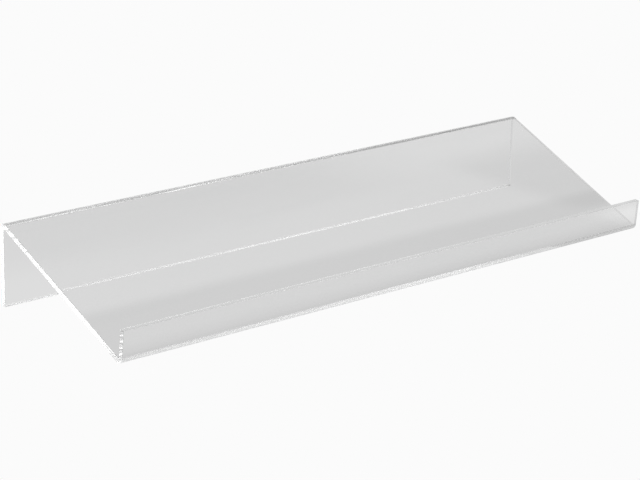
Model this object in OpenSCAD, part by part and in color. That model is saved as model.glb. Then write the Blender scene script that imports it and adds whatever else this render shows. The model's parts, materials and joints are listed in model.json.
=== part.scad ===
// Free-standing magazine rack, heat-bent from a single sheet of clear acrylic.
// An upright leg carries the back of a sloping shelf, and a low lip stops what lies on it.
// The origin is the centre of the footprint. The bends run along X and the lip faces -Y.

/* [Sheet] */
// Length of the rack, along its bends
rack_length = 600; // [200:10:1200]
// Thickness of the acrylic sheet
sheet_t = 5; // [3:0.5:8]
// Radius on the inside of both bends
bend_r = 1; // [0.5:0.5:6]

/* [Stand] */
// Overall depth, from the front of the lip to the back of the leg
rack_depth = 180; // [140:5:300]
// Overall height, over the top bend
rack_height = 75; // [50:1:120]

/* [Lip] */
// Height of the lip's top edge above the surface that the rack stands on
lip_height = 30; // [20:1:50]
// Angle by which the lip leans forward of upright
lip_lean = 5; // [0:1:20]

/* [Hidden] */
quarter_turn = 90;
half_turn = 180;

// Flat steps along each curve of a bend
bend_steps = 24;
bend_outer_r = bend_r + sheet_t;
bend_mid_r = bend_r + sheet_t / 2;

// The side view is drawn in Y and Z. This is the unit vector at an angle from +Y towards +Z
function towards(angle) = [cos(angle), sin(angle)];

// Points along a curve about a centre, from one angle to another
function curve(centre, r, from, to) =
    [for (i = [0:bend_steps]) centre + r * towards(from + (to - from) * i / bend_steps)];

// Centre of the front bend, which rests on the surface that the rack stands on
heel_z = bend_outer_r;
lip_flat = (lip_height - heel_z + bend_r * sin(lip_lean)) / cos(lip_lean);
heel_y = -rack_depth / 2 + bend_outer_r * cos(lip_lean) + lip_flat * sin(lip_lean);
heel = [heel_y, heel_z];

// Centre of the top bend, below the sheet and in front of the leg
crest_y = rack_depth / 2 - bend_outer_r;
crest_z = rack_height - bend_outer_r;
crest = [crest_y, crest_z];

// The shelf passes under the heel's centre and over the crest's centre,
// so it slopes more than the line between them
shelf_slope = atan2(crest_z - heel_z, crest_y - heel_y) + asin(2 * bend_mid_r / norm(crest - heel));

// Directions that the flat faces look in, which are where the curves start and end
lip_front = half_turn + lip_lean;
shelf_under = half_turn + quarter_turn + shelf_slope;
shelf_over = quarter_turn + shelf_slope;
leg_back = 0;
lip_run = lip_flat * towards(lip_front - quarter_turn);

// Outline of the sheet seen from the side: over the top from the lip to the leg's foot, then back below
side_outline = concat(
    [heel + bend_r * towards(lip_front) + lip_run],
    curve(heel, bend_r, lip_front, shelf_under),
    curve(crest, bend_outer_r, shelf_over, leg_back),
    [[crest_y + bend_outer_r, 0], [crest_y + bend_r, 0]],
    curve(crest, bend_r, leg_back, shelf_over),
    curve(heel, bend_outer_r, shelf_under, lip_front),
    [heel + bend_outer_r * towards(lip_front) + lip_run]
);

module bent_sheet() {
    color("gainsboro")
        rotate([quarter_turn, 0, quarter_turn])
            linear_extrude(rack_length, center = true)
                polygon(side_outline);
}

bent_sheet();
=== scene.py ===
# %% [markdown]
# A magazine rack, bent from one sheet of clear acrylic. It is a single piece with no screws and no joints:
# an upright leg at the back, a long sloping shelf and a low lip at the front, with a hot bend between each.
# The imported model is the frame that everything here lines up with, so it is loaded before anything is made.

# %% Load the frame
import json
import math

import bpy
from mathutils import Matrix, Vector


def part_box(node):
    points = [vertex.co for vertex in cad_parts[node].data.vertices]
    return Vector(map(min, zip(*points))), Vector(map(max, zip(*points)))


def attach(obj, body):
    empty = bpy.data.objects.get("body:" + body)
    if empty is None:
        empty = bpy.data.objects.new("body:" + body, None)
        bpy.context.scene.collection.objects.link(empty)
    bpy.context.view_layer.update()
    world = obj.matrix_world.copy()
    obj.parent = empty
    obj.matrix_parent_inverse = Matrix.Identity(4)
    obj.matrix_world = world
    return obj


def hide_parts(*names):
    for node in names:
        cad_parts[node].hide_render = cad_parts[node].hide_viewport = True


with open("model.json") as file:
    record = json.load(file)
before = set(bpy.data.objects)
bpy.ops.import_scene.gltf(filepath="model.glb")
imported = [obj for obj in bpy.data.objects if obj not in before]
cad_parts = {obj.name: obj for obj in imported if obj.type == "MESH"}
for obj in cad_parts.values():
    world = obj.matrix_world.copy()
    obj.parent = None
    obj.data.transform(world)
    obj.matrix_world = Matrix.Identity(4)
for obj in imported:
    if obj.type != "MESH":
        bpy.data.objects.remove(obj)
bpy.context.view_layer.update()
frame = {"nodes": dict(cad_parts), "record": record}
cad_sheet = frame["nodes"]["bent_sheet"]
mounts = {mount["name"]: mount for mount in frame["record"]["mounts"]}

# %% [markdown]
# The camera is set up first, so that every later step can be looked at from where the picture is taken.
# It stands to the front left, a little above the rack, and looks along and down it. A long lens from well
# back keeps the parallel bends almost parallel, as in a catalogue picture. A heading about the vertical, a
# dip below the horizon and a slight roll about its own axis aim it, so they are multiplied in that order.

# %% Camera
SENSOR_MM = 36
CAMERA_LENS_MM = 131.1
CAMERA_PLACE = Vector((-1.305, -1.5216, 0.6717))
CAMERA_HEADING = math.radians(-40.15)
CAMERA_DIP = math.radians(17.9)
CAMERA_ROLL = math.radians(1.08)

camera_data = bpy.data.cameras.new("catalogue_camera")
camera_data.sensor_width = SENSOR_MM
camera_data.lens = CAMERA_LENS_MM
camera = bpy.data.objects.new("catalogue_camera", camera_data)
bpy.context.scene.collection.objects.link(camera)

# An unturned camera looks straight down, so a quarter turn first brings it level
heading = Matrix.Rotation(CAMERA_HEADING, 4, "Z")
dip = Matrix.Rotation(math.pi / 2 - CAMERA_DIP, 4, "X")
roll = Matrix.Rotation(CAMERA_ROLL, 4, "Z")
camera.matrix_world = Matrix.Translation(CAMERA_PLACE) @ heading @ dip @ roll
bpy.context.scene.camera = camera
print("camera looks along", tuple(round(a, 3) for a in -camera.matrix_world.col[2].xyz))

# %% [markdown]
# A line-bent sheet is fully described by a few numbers: how thick it is, how long, how far apart its bends
# are and how sharply they turn. They could be typed in again, but then the two models could drift apart.
# So they are measured on the frame. Its box gives the length, depth and height, the foot gives the
# thickness, and the faces that hold the magazines give the slope of the shelf and the lean of the lip.

# %% Measure the sheet
BEND_INNER_R = 0.001
TOUCHING = 1e-5

box_low, box_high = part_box("bent_sheet")
rack_length = box_high.x - box_low.x
points = [vertex.co for vertex in cad_sheet.data.vertices]
foot_ys = [point.y for point in points if point.z < box_low.z + TOUCHING and point.y > 0]
sheet_t = max(foot_ys) - min(foot_ys)
lip_height = max(point.z for point in points if point.y < box_low.y + sheet_t)

shelf_normal = Vector(mounts["shelf_face"]["axis"])
lip_normal = Vector(mounts["lip_face"]["axis"])
shelf_slope = math.atan2(-shelf_normal.y, shelf_normal.z)
lip_lean = math.atan2(lip_normal.z, lip_normal.y)
print(f"length {rack_length:.3f}, thickness {sheet_t:.4f}, lip height {lip_height:.4f}")
print(f"shelf slope {math.degrees(shelf_slope):.2f}, lip lean {math.degrees(lip_lean):.2f} degrees")

# %% [markdown]
# Both bends are parts of a tube whose axis runs the length of the rack. The front one, the heel, rests on
# the table with the sheet passing under its axis. The top one, the crest, has the sheet passing over it.
# Once the two axes are known, every flat is a straight run that starts where a bend ends.

# %% Place the two bends
bend_outer_r = BEND_INNER_R + sheet_t
bend_middle_r = BEND_INNER_R + sheet_t / 2

heel_z = box_low.z + bend_outer_r
lip_flat = (lip_height - heel_z + BEND_INNER_R * math.sin(lip_lean)) / math.cos(lip_lean)
heel_y = box_low.y + bend_outer_r * math.cos(lip_lean) + lip_flat * math.sin(lip_lean)
heel = Vector((0, heel_y, heel_z))
crest = Vector((0, box_high.y - bend_outer_r, box_high.z - bend_outer_r))

axes_apart = (crest - heel).length
shelf_flat = math.sqrt(axes_apart**2 - (2 * bend_middle_r) ** 2)
leg_flat = crest.z - box_low.z
down_the_shelf = Vector((0, -math.cos(shelf_slope), -math.sin(shelf_slope)))
up_the_lip = Vector((0, -math.sin(lip_lean), math.cos(lip_lean)))
crest_turn = math.radians(90) + shelf_slope
heel_turn = math.radians(90) + shelf_slope - lip_lean
blank_width = leg_flat + shelf_flat + lip_flat + bend_middle_r * (crest_turn + heel_turn)
print(f"flats: leg {leg_flat:.4f}, shelf {shelf_flat:.4f}, lip {lip_flat:.4f}")
print(f"the blank is {rack_length:.3f} by {blank_width:.4f} before it is bent")

# %% [markdown]
# On the bench the sheet is heated along a line and folded round. The same can be done here in the order
# that a hand would follow the sheet: start with the leg as a plain slab, pick its top face, spin that face
# round the crest, pull it down the shelf, spin it back round the heel and pull it up into the lip. A solid
# grown this way keeps its thickness through each bend, which a slab bent by a deforming tool wouldn't.
# The spin tool turns the other way round from the rotate tool, so a turn that lifts the face is negative.

# %% Grow the sheet from its leg
BEND_STEPS = 32
FACING = 0.9
MERGE_WITHIN = 1e-6

bpy.ops.object.select_all(action="DESELECT")
leg_place = (0, crest.y + bend_middle_r, box_low.z + leg_flat / 2)
bpy.ops.mesh.primitive_cube_add(size=1, location=leg_place, scale=(rack_length, sheet_t, leg_flat))
sheet = bpy.context.object
sheet.name = "bent_acrylic_sheet"
bpy.ops.object.transform_apply(location=True, rotation=True, scale=True)


def select_faces(piece, wanted):
    """In edit mode, selects the faces for which wanted(face) is true and no others."""
    bpy.ops.object.mode_set(mode="EDIT")
    bpy.ops.mesh.select_mode(type="FACE")
    bpy.ops.mesh.select_all(action="DESELECT")
    bpy.ops.object.mode_set(mode="OBJECT")
    for face in piece.data.polygons:
        face.select = wanted(face)
    bpy.ops.object.mode_set(mode="EDIT")


select_faces(sheet, lambda face: face.normal.z > FACING)
bpy.ops.mesh.spin(steps=BEND_STEPS, angle=-crest_turn, center=crest, axis=(1, 0, 0))
bpy.ops.mesh.extrude_region_move(TRANSFORM_OT_translate={"value": down_the_shelf * shelf_flat})
bpy.ops.mesh.spin(steps=BEND_STEPS, angle=heel_turn, center=heel, axis=(1, 0, 0))
bpy.ops.mesh.extrude_region_move(TRANSFORM_OT_translate={"value": up_the_lip * lip_flat})

bpy.ops.mesh.select_all(action="SELECT")
bpy.ops.mesh.remove_doubles(threshold=MERGE_WITHIN)
bpy.ops.mesh.normals_make_consistent(inside=False)
bpy.ops.object.mode_set(mode="OBJECT")
grown_high = max(vertex.co.z for vertex in sheet.data.vertices)
print(f"{len(sheet.data.polygons)} faces, highest point {grown_high:.5f}, the frame's is {box_high.z:.5f}")

# %% [markdown]
# A saw leaves the blank with sharp corners. They are scraped and then polished with a flame or a wheel, which
# leaves a tiny round, the arris, along every cut edge. It is under half a millimetre, but it is what catches
# the light as a bright line. A bevel limited by angle finds these corners by itself: the flat steps along a
# bend turn by only a few degrees each, so they stay as they are. Smooth shading then hides the steps, and
# weighted normals let the big flats keep their own direction, or reflections near a corner would smear.

# %% Round the cut edges
ARRIS_R = 0.0004
ARRIS_SEGMENTS = 3
CUT_CORNER = math.radians(50)
FLATS_WIN = 100

arris = sheet.modifiers.new("arris", "BEVEL")
arris.width = ARRIS_R
arris.segments = ARRIS_SEGMENTS
arris.limit_method = "ANGLE"
arris.angle_limit = CUT_CORNER
bpy.ops.object.modifier_apply(modifier=arris.name)
bpy.ops.object.shade_smooth()
flats_rule = sheet.modifiers.new("flats_rule", "WEIGHTED_NORMAL")
flats_rule.mode = "FACE_AREA"
flats_rule.weight = FLATS_WIN
bpy.ops.object.modifier_apply(modifier=flats_rule.name)
print(f"{len(sheet.data.polygons)} faces with the cut edges rounded")

# %% [markdown]
# The finishes, the table and the lamps are all made of shader nodes. Wiring them one by one hides the sums
# that they stand for, so a small class wraps a node's output and lets a sum be written as a sum. Adding,
# subtracting or multiplying two signals puts a Math node in the same tree. Every other node comes from
# make, which sets the node up first and then fills or links its sockets.

# %% Write shader sums as sums
class Signal:
    """One output of a shader node. Sums written with it add Math nodes to the same tree."""

    def __init__(self, socket):
        self.socket = socket
        self.tree = socket.id_data

    @staticmethod
    def make(tree, kind, settings, sockets, output=0):
        """Adds a node, gives it its settings and then its sockets, and returns one of its outputs."""
        node = tree.nodes.new(kind)
        for name, value in settings.items():
            setattr(node, name, value)
        for name, value in sockets.items():
            if isinstance(value, Signal):
                tree.links.new(value.socket, node.inputs[name])
            else:
                node.inputs[name].default_value = value
        return Signal(node.outputs[output])

    def maths(self, operation, first, second):
        return Signal.make(self.tree, "ShaderNodeMath", {"operation": operation}, {0: first, 1: second})

    def __add__(self, other):
        return self.maths("ADD", self, other)

    def __radd__(self, other):
        return self.maths("ADD", other, self)

    def __sub__(self, other):
        return self.maths("SUBTRACT", self, other)

    def __rsub__(self, other):
        return self.maths("SUBTRACT", other, self)

    def __mul__(self, other):
        return self.maths("MULTIPLY", self, other)

    def __rmul__(self, other):
        return self.maths("MULTIPLY", other, self)


def rise(value, start, end):
    """Goes smoothly from 0 to 1 while the value goes from start to end, which may be the lower one."""
    ends = {"Value": value, "From Min": start, "From Max": end}
    return Signal.make(value.tree, "ShaderNodeMapRange", {"interpolation_type": "SMOOTHERSTEP"}, ends)


print("signals can be added, subtracted and multiplied")

# %% [markdown]
# Clear acrylic has almost no colour of its own. Light goes in, bends by its refractive index of 1.49, and
# about four hundredths of it is thrown back at each face, so it is the whole transmission and the index on
# the shader that make it acrylic. Both are the same all over and are set on the shader's own sockets.
# What varies is the surface. A rack that has been wiped carries faint streaks along its length, which dull
# the gloss a little and hold back a trace of light. The sheet isn't quite flat either: casting and heating
# leave shallow waves, longer along the sheet than across it, that make its reflections swim.

# %% Start a clear finish
ACRYLIC_IOR = 1.49
MIX_FACTOR, MIX_FIRST, MIX_SECOND, MIX_COLOUR = 0, 6, 7, 2


def start_finish(name):
    """A new see-through finish, and the place on the piece of the point that is being shaded."""
    finish = bpy.data.materials.new(name)
    finish.use_nodes = True
    shader = finish.node_tree.nodes["Principled BSDF"]
    shader.inputs["Transmission Weight"].default_value = 1
    shader.inputs["IOR"].default_value = ACRYLIC_IOR
    place = Signal.make(finish.node_tree, "ShaderNodeTexCoord", {}, {}, "Object")
    return finish, place


def streaks(place, per_metre, detail):
    """A soft random pattern. The three counts per metre set how finely it changes along X, Y and Z."""
    stretched = Signal.make(
        place.tree, "ShaderNodeVectorMath", {"operation": "MULTIPLY"}, {0: place, 1: per_metre}
    )
    sockets = {"Vector": stretched, "Scale": 1, "Detail": detail}
    return Signal.make(place.tree, "ShaderNodeTexNoise", {}, sockets)


def blend_colours(amount, clean, marked):
    """Goes from the clean colour to the marked one as the amount goes from 0 to 1."""
    sockets = {MIX_FACTOR: amount, MIX_FIRST: clean, MIX_SECOND: marked}
    return Signal.make(amount.tree, "ShaderNodeMix", {"data_type": "RGBA"}, sockets, MIX_COLOUR)


def emboss(height, depth):
    """Turns a height from 0 to 1 into a tilt of the surface, as if it were that many metres deep."""
    return Signal.make(height.tree, "ShaderNodeBump", {}, {"Height": height, "Distance": depth}, "Normal")


def vary(finish, sockets):
    """Links signals to the named sockets of a finish's shader."""
    shader = finish.node_tree.nodes["Principled BSDF"]
    for name, signal in sockets.items():
        finish.node_tree.links.new(signal.socket, shader.inputs[name])
    print(finish.name, "varies in", ", ".join(sockets))


print("every finish starts clear, with an index of", ACRYLIC_IOR)

# %% [markdown]
# The faces come first. The streaks are a soft random pattern that changes nine times as fast across the
# rack as along it, because that is how a cloth is drawn over it. A rise keeps only the strongest of them.
# The waves are a second, much slower pattern, and a fifth of a millimetre of depth is enough.

# %% Finish of the faces
CLEAN_ACRYLIC = (1, 1, 1, 1)
WIPED_ACRYLIC = (0.985, 0.987, 0.987, 1)
WIPE_PER_METRE = (5, 45, 45)
WIPE_DETAIL = 4
WIPED_FROM, WIPED_TO = 0.48, 0.72
GLOSS_ROUGHNESS = 0.002
WIPED_ROUGHNESS = 0.02
WAVES_PER_METRE = (3, 9, 9)
WAVES_DEEP = 0.0002

faces_finish, faces_place = start_finish("clear_acrylic")
wiped = rise(streaks(faces_place, WIPE_PER_METRE, WIPE_DETAIL), WIPED_FROM, WIPED_TO)
waves = streaks(faces_place, WAVES_PER_METRE, 0)
vary(faces_finish, {
    "Base Color": blend_colours(wiped, CLEAN_ACRYLIC, WIPED_ACRYLIC),
    "Roughness": wiped * (WIPED_ROUGHNESS - GLOSS_ROUGHNESS) + GLOSS_ROUGHNESS,
    "Normal": emboss(waves, WAVES_DEEP),
})

# %% [markdown]
# The cut edges are another surface. They were sawn, scraped and polished, so they keep a slight satin and a
# fine grain of marks, as small one way as the other. Light trapped between the big faces comes out here,
# and that is why the rim of a clear sheet looks white. The satin has to stay slight: it spreads the bright
# and dark images inside the edge into one even line, while a rough edge would swallow the trapped light.

# %% Finish of the cut edges
SCRAPED_ACRYLIC = (0.97, 0.975, 0.975, 1)
MARKS_PER_METRE = (700, 700, 700)
MARKS_DETAIL = 2
POLISHED_ROUGHNESS = 0.025
SCRAPED_ROUGHNESS = 0.045
MARKS_DEEP = 0.0000005
SCRAPED_FROM, SCRAPED_TO = 0.4, 0.7

cut_finish, cut_place = start_finish("polished_cut_edge")
marks = streaks(cut_place, MARKS_PER_METRE, MARKS_DETAIL)
scraped = rise(marks, SCRAPED_FROM, SCRAPED_TO)
vary(cut_finish, {
    "Base Color": blend_colours(scraped, CLEAN_ACRYLIC, SCRAPED_ACRYLIC),
    "Roughness": scraped * (SCRAPED_ROUGHNESS - POLISHED_ROUGHNESS) + POLISHED_ROUGHNESS,
    "Normal": emboss(marks, MARKS_DEEP),
})

# %% [markdown]
# One piece can carry both finishes. The first one appended is used everywhere, and each face whose place
# is at an end, under the foot or on top of the lip is told to use the second. The small rounds beside
# them were cut and polished too, so the test reaches a little past the corner. Then the piece is
# tied to the frame: it rides on the only body and stands for the imported sheet.

# %% Put the finishes on and tie the piece to the frame
sheet.data.materials.append(faces_finish)
sheet.data.materials.append(cut_finish)


def is_cut(face):
    """True on both ends, the foot and the lip's top, and on the arris round each."""
    near_an_end = abs(face.center.x) > rack_length / 2 - 2 * ARRIS_R
    on_the_foot = face.center.z < box_low.z + ARRIS_R and face.center.y > crest.y
    on_the_lip_top = (face.center - heel).dot(up_the_lip) > lip_flat - ARRIS_R
    return near_an_end or on_the_foot or on_the_lip_top


for face in sheet.data.polygons:
    face.material_index = int(is_cut(face))
print(sum(face.material_index for face in sheet.data.polygons), "faces are cut edges")

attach(sheet, "root")
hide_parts("bent_sheet")

# %% [markdown]
# A clear rack shows only what is behind it and what it mirrors, so the stage matters as much as the finish.
# It is shown here as on a catalogue page: as if it stood on a pale grey table, with everything outside its
# outline lifted to clean white. It then stands out as a grey film with bright rims. The stage does this with
# two things at one height. The pale table is seen only through the acrylic or mirrored in it. The white
# sweep, which is a floor and the wall and ceiling round it in one, is what is seen past the rack. Which of
# them a ray meets is a setting of the object, not of any material, and no real table could do it: the grey
# is the stage's and not the acrylic's. Both are painted to look equally bright from every side, so they
# need no lamp and throw no shadow.

# %% Mix a glowing paint
def glowing_paint(name):
    """A new paint that looks equally bright from everywhere, with the shader that sets how bright."""
    paint = bpy.data.materials.new(name)
    paint.use_nodes = True
    tree = paint.node_tree
    tree.nodes.remove(tree.nodes["Principled BSDF"])
    glow = tree.nodes.new("ShaderNodeEmission")
    tree.links.new(glow.outputs["Emission"], tree.nodes["Material Output"].inputs["Surface"])
    return paint, glow


STUDIO_SIZE = 40
STAGE_GAP = 0.00002
UNDER_THE_FOOT = box_low.z - STAGE_GAP
print("the stage is", STUDIO_SIZE, "m across and lies", STAGE_GAP, "m under the foot")

# %% [markdown]
# The table isn't one flat grey. It glows by itself, so nothing works out how the rack would shade it, and the
# rack's shadow and the light around it are painted on as changes of brightness. Each change below was set by
# comparing tones as seen from the main camera, and isn't worked out from light. A painted shadow darkens the
# table under the front half of the shelf, painted light brightens the strip before the leg and, most of all,
# the table close in front of the lip, and a painted shade is darkest right under the front bend. Past the
# right end a painted shadow darkens it a little beside the shelf and painted light brightens it beside the
# lip. Far behind the rack it is a little darker at the left and a little lighter at the right. Each of these
# is a soft step along the rack or across it, given by the two places between which it happens. Multiplying
# two steps keeps a change in one corner.

# %% Mark where the table's painted shade and light change
SHADE_TO_STRIP = (0.005, 0.042)
STRIP_TO_BEHIND = (crest.y, box_high.y)
SHADE_TO_FRONT = (box_low.y - 0.005, box_low.y - 0.03)
FRONT_TO_BEHIND = (box_low.y - 0.05, box_low.y - 0.10)
HEEL_SHADE_REACH = 0.018
INTO_HEEL_SHADE = (heel.y - HEEL_SHADE_REACH, heel.y)
OUT_OF_HEEL_SHADE = (heel.y + HEEL_SHADE_REACH, heel.y)
PAST_THE_END = (box_high.x - 0.03, box_high.x + 0.03)
BESIDE_THE_SHELF = (-0.03, 0)
BESIDE_THE_LIP = (-0.01, -0.05)
FAR_BACK = (0.10, 0.24)
NOT_FAR_BACK = (0.24, 0.12)
TOWARDS_THE_RIGHT = (0.10, 0.32)
print("the shade under the bend is centred on y =", round(heel.y, 4))

# %% Pale table, seen through the acrylic, with painted shadow and light
# Painted shadow of the rack on the table under the front half of the shelf, its lowest tone
TABLE_PAINTED_SHADOW = 0.65
# Painted light on the strip of table before the leg
TABLE_STRIP_PAINTED_LIGHT = 0.72
TABLE_BEHIND = 0.725
# Painted light on the table close in front of the lip
TABLE_FRONT_PAINTED_LIGHT = 1.1
# Painted shade on the table right under the front bend
HEEL_PAINTED_SHADE_CHANGE = -0.06
# Painted shadow on the table beside the shelf, past the right end
PAST_END_PAINTED_SHADOW = -0.05
# Painted light on the table beside the lip, past the right end
LIP_CORNER_PAINTED_LIGHT = 0.10
FAR_BACK_CHANGE = -0.035
FAR_RIGHT_CHANGE = 0.07

bpy.ops.object.select_all(action="DESELECT")
bpy.ops.mesh.primitive_plane_add(size=STUDIO_SIZE)
table = bpy.context.object
table.name = "pale_table"
table.location.z = UNDER_THE_FOOT

table_paint, table_glow = glowing_paint("pale_table")
table_place = Signal.make(table_paint.node_tree, "ShaderNodeTexCoord", {}, {}, "Object")
along = Signal.make(table_paint.node_tree, "ShaderNodeSeparateXYZ", {}, {0: table_place}, "X")
across = Signal.make(table_paint.node_tree, "ShaderNodeSeparateXYZ", {}, {0: table_place}, "Y")

past_the_end = rise(along, *PAST_THE_END)
# Where the painted shadow past the right end falls, beside the shelf
beside_the_shelf = past_the_end * rise(across, *BESIDE_THE_SHELF) * rise(across, *NOT_FAR_BACK)
# Where the painted shade under the front bend falls
heel_painted_shade = rise(across, *INTO_HEEL_SHADE) * rise(across, *OUT_OF_HEEL_SHADE)
far_back_change = FAR_RIGHT_CHANGE * rise(along, *TOWARDS_THE_RIGHT) + FAR_BACK_CHANGE
# The table's grey with the painted shadow, shade and light added on
brightness = (
    TABLE_PAINTED_SHADOW
    + (TABLE_STRIP_PAINTED_LIGHT - TABLE_PAINTED_SHADOW) * rise(across, *SHADE_TO_STRIP)
    + (TABLE_BEHIND - TABLE_STRIP_PAINTED_LIGHT) * rise(across, *STRIP_TO_BEHIND)
    + (TABLE_FRONT_PAINTED_LIGHT - TABLE_PAINTED_SHADOW) * rise(across, *SHADE_TO_FRONT)
    + (TABLE_BEHIND - TABLE_FRONT_PAINTED_LIGHT) * rise(across, *FRONT_TO_BEHIND)
    + HEEL_PAINTED_SHADE_CHANGE * heel_painted_shade
    + PAST_END_PAINTED_SHADOW * beside_the_shelf
    + LIP_CORNER_PAINTED_LIGHT * past_the_end * rise(across, *BESIDE_THE_LIP)
    + far_back_change * rise(across, *FAR_BACK)
)
table_paint.node_tree.links.new(brightness.socket, table_glow.inputs["Strength"])
table.data.materials.append(table_paint)
table.visible_camera = False
table.visible_shadow = False
print("pale table from", TABLE_PAINTED_SHADOW, "to", TABLE_FRONT_PAINTED_LIGHT)

# %% [markdown]
# The sweep starts as a ball that is far bigger than the rack. It is cut through at the height of the table,
# the lower half is thrown away and the cut is filled, which makes the floor. It is left out of every ray
# but the camera's, so the lamps shine through it.

# %% White sweep, seen past the rack
CLEAN_WHITE = 0.965

bpy.ops.mesh.primitive_uv_sphere_add(segments=48, ring_count=24, radius=STUDIO_SIZE / 2)
sweep = bpy.context.object
sweep.name = "white_sweep"
bpy.ops.object.mode_set(mode="EDIT")
bpy.ops.mesh.bisect(
    plane_co=(0, 0, UNDER_THE_FOOT), plane_no=(0, 0, 1), clear_inner=True, use_fill=True
)
bpy.ops.object.mode_set(mode="OBJECT")
sweep_paint, sweep_glow = glowing_paint("clean_white")
sweep_glow.inputs["Strength"].default_value = CLEAN_WHITE
sweep.data.materials.append(sweep_paint)
sweep.visible_diffuse = False
sweep.visible_glossy = False
sweep.visible_transmission = False
sweep.visible_shadow = False
print("sweep of", len(sweep.data.polygons), "faces")

# %% [markdown]
# Soft lamps could be glowing panels, but panels have hard borders that show up as bars in a glossy sheet.
# Here they are painted on the world as round spots with soft edges. For each direction, its nearness to the
# lamp's centre is their dot product, and the spot rises between the edge and the core. A strong low lamp
# stands to the right in front and lights the rims. Three weaker ones stand behind to the right at different
# heights, and are what the shelf and the top bend mirror. A wide one low on the left keeps the shelf pale
# when it is seen along its length. The rest of the room stays dim.

# %% Hang the soft lamps
world = bpy.data.worlds.new("studio")
world.use_nodes = True
sky = world.node_tree
direction = Signal.make(sky, "ShaderNodeTexCoord", {}, {}, "Generated")


def soft_lamp(heading, height, core, edge, strength):
    """How bright a soft-edged round lamp looks. Its heading runs from the back round to the right."""
    heading, height, core, edge = (math.radians(angle) for angle in (heading, height, core, edge))
    flat = math.cos(height)
    centre = (math.sin(heading) * flat, math.cos(heading) * flat, math.sin(height))
    nearness = Signal.make(
        sky, "ShaderNodeVectorMath", {"operation": "DOT_PRODUCT"}, {0: direction, 1: centre}, "Value"
    )
    return rise(nearness, math.cos(edge), math.cos(core)) * strength


ROOM = 0.33
rim_lamp = soft_lamp(heading=135, height=14, core=6, edge=34, strength=2.8)
shelf_lamp = soft_lamp(heading=40, height=56, core=2, edge=24, strength=0.17)
side_lamp = soft_lamp(heading=76, height=42, core=3, edge=14, strength=0.07)
low_lamp = soft_lamp(heading=48, height=20, core=4, edge=22, strength=0.6)
left_lamp = soft_lamp(heading=-80, height=8, core=10, edge=38, strength=0.2)
room = rim_lamp + shelf_lamp + side_lamp + low_lamp + left_lamp + ROOM
sky.links.new(room.socket, sky.nodes["Background"].inputs["Strength"])
sky.nodes["Background"].inputs["Color"].default_value = (1, 1, 1, 1)
bpy.context.scene.world = world
print("five soft lamps in a room of", ROOM)

# %% [markdown]
# Two settings finish the picture. The standard view keeps clean white clean, where a filmic view would
# grey it. Light inside a long sheet bounces between its faces many dozens of times before it comes
# out at an end, so the limits on bounces are far above the usual ones: cut short, the rims would go black.

# %% Let the light run the length of the sheet
BOUNCES_INSIDE = 256

scene = bpy.context.scene
scene.view_settings.view_transform = "Standard"
scene.cycles.max_bounces = BOUNCES_INSIDE
scene.cycles.transmission_bounces = BOUNCES_INSIDE
scene.cycles.glossy_bounces = BOUNCES_INSIDE
print("light may bounce", BOUNCES_INSIDE, "times")
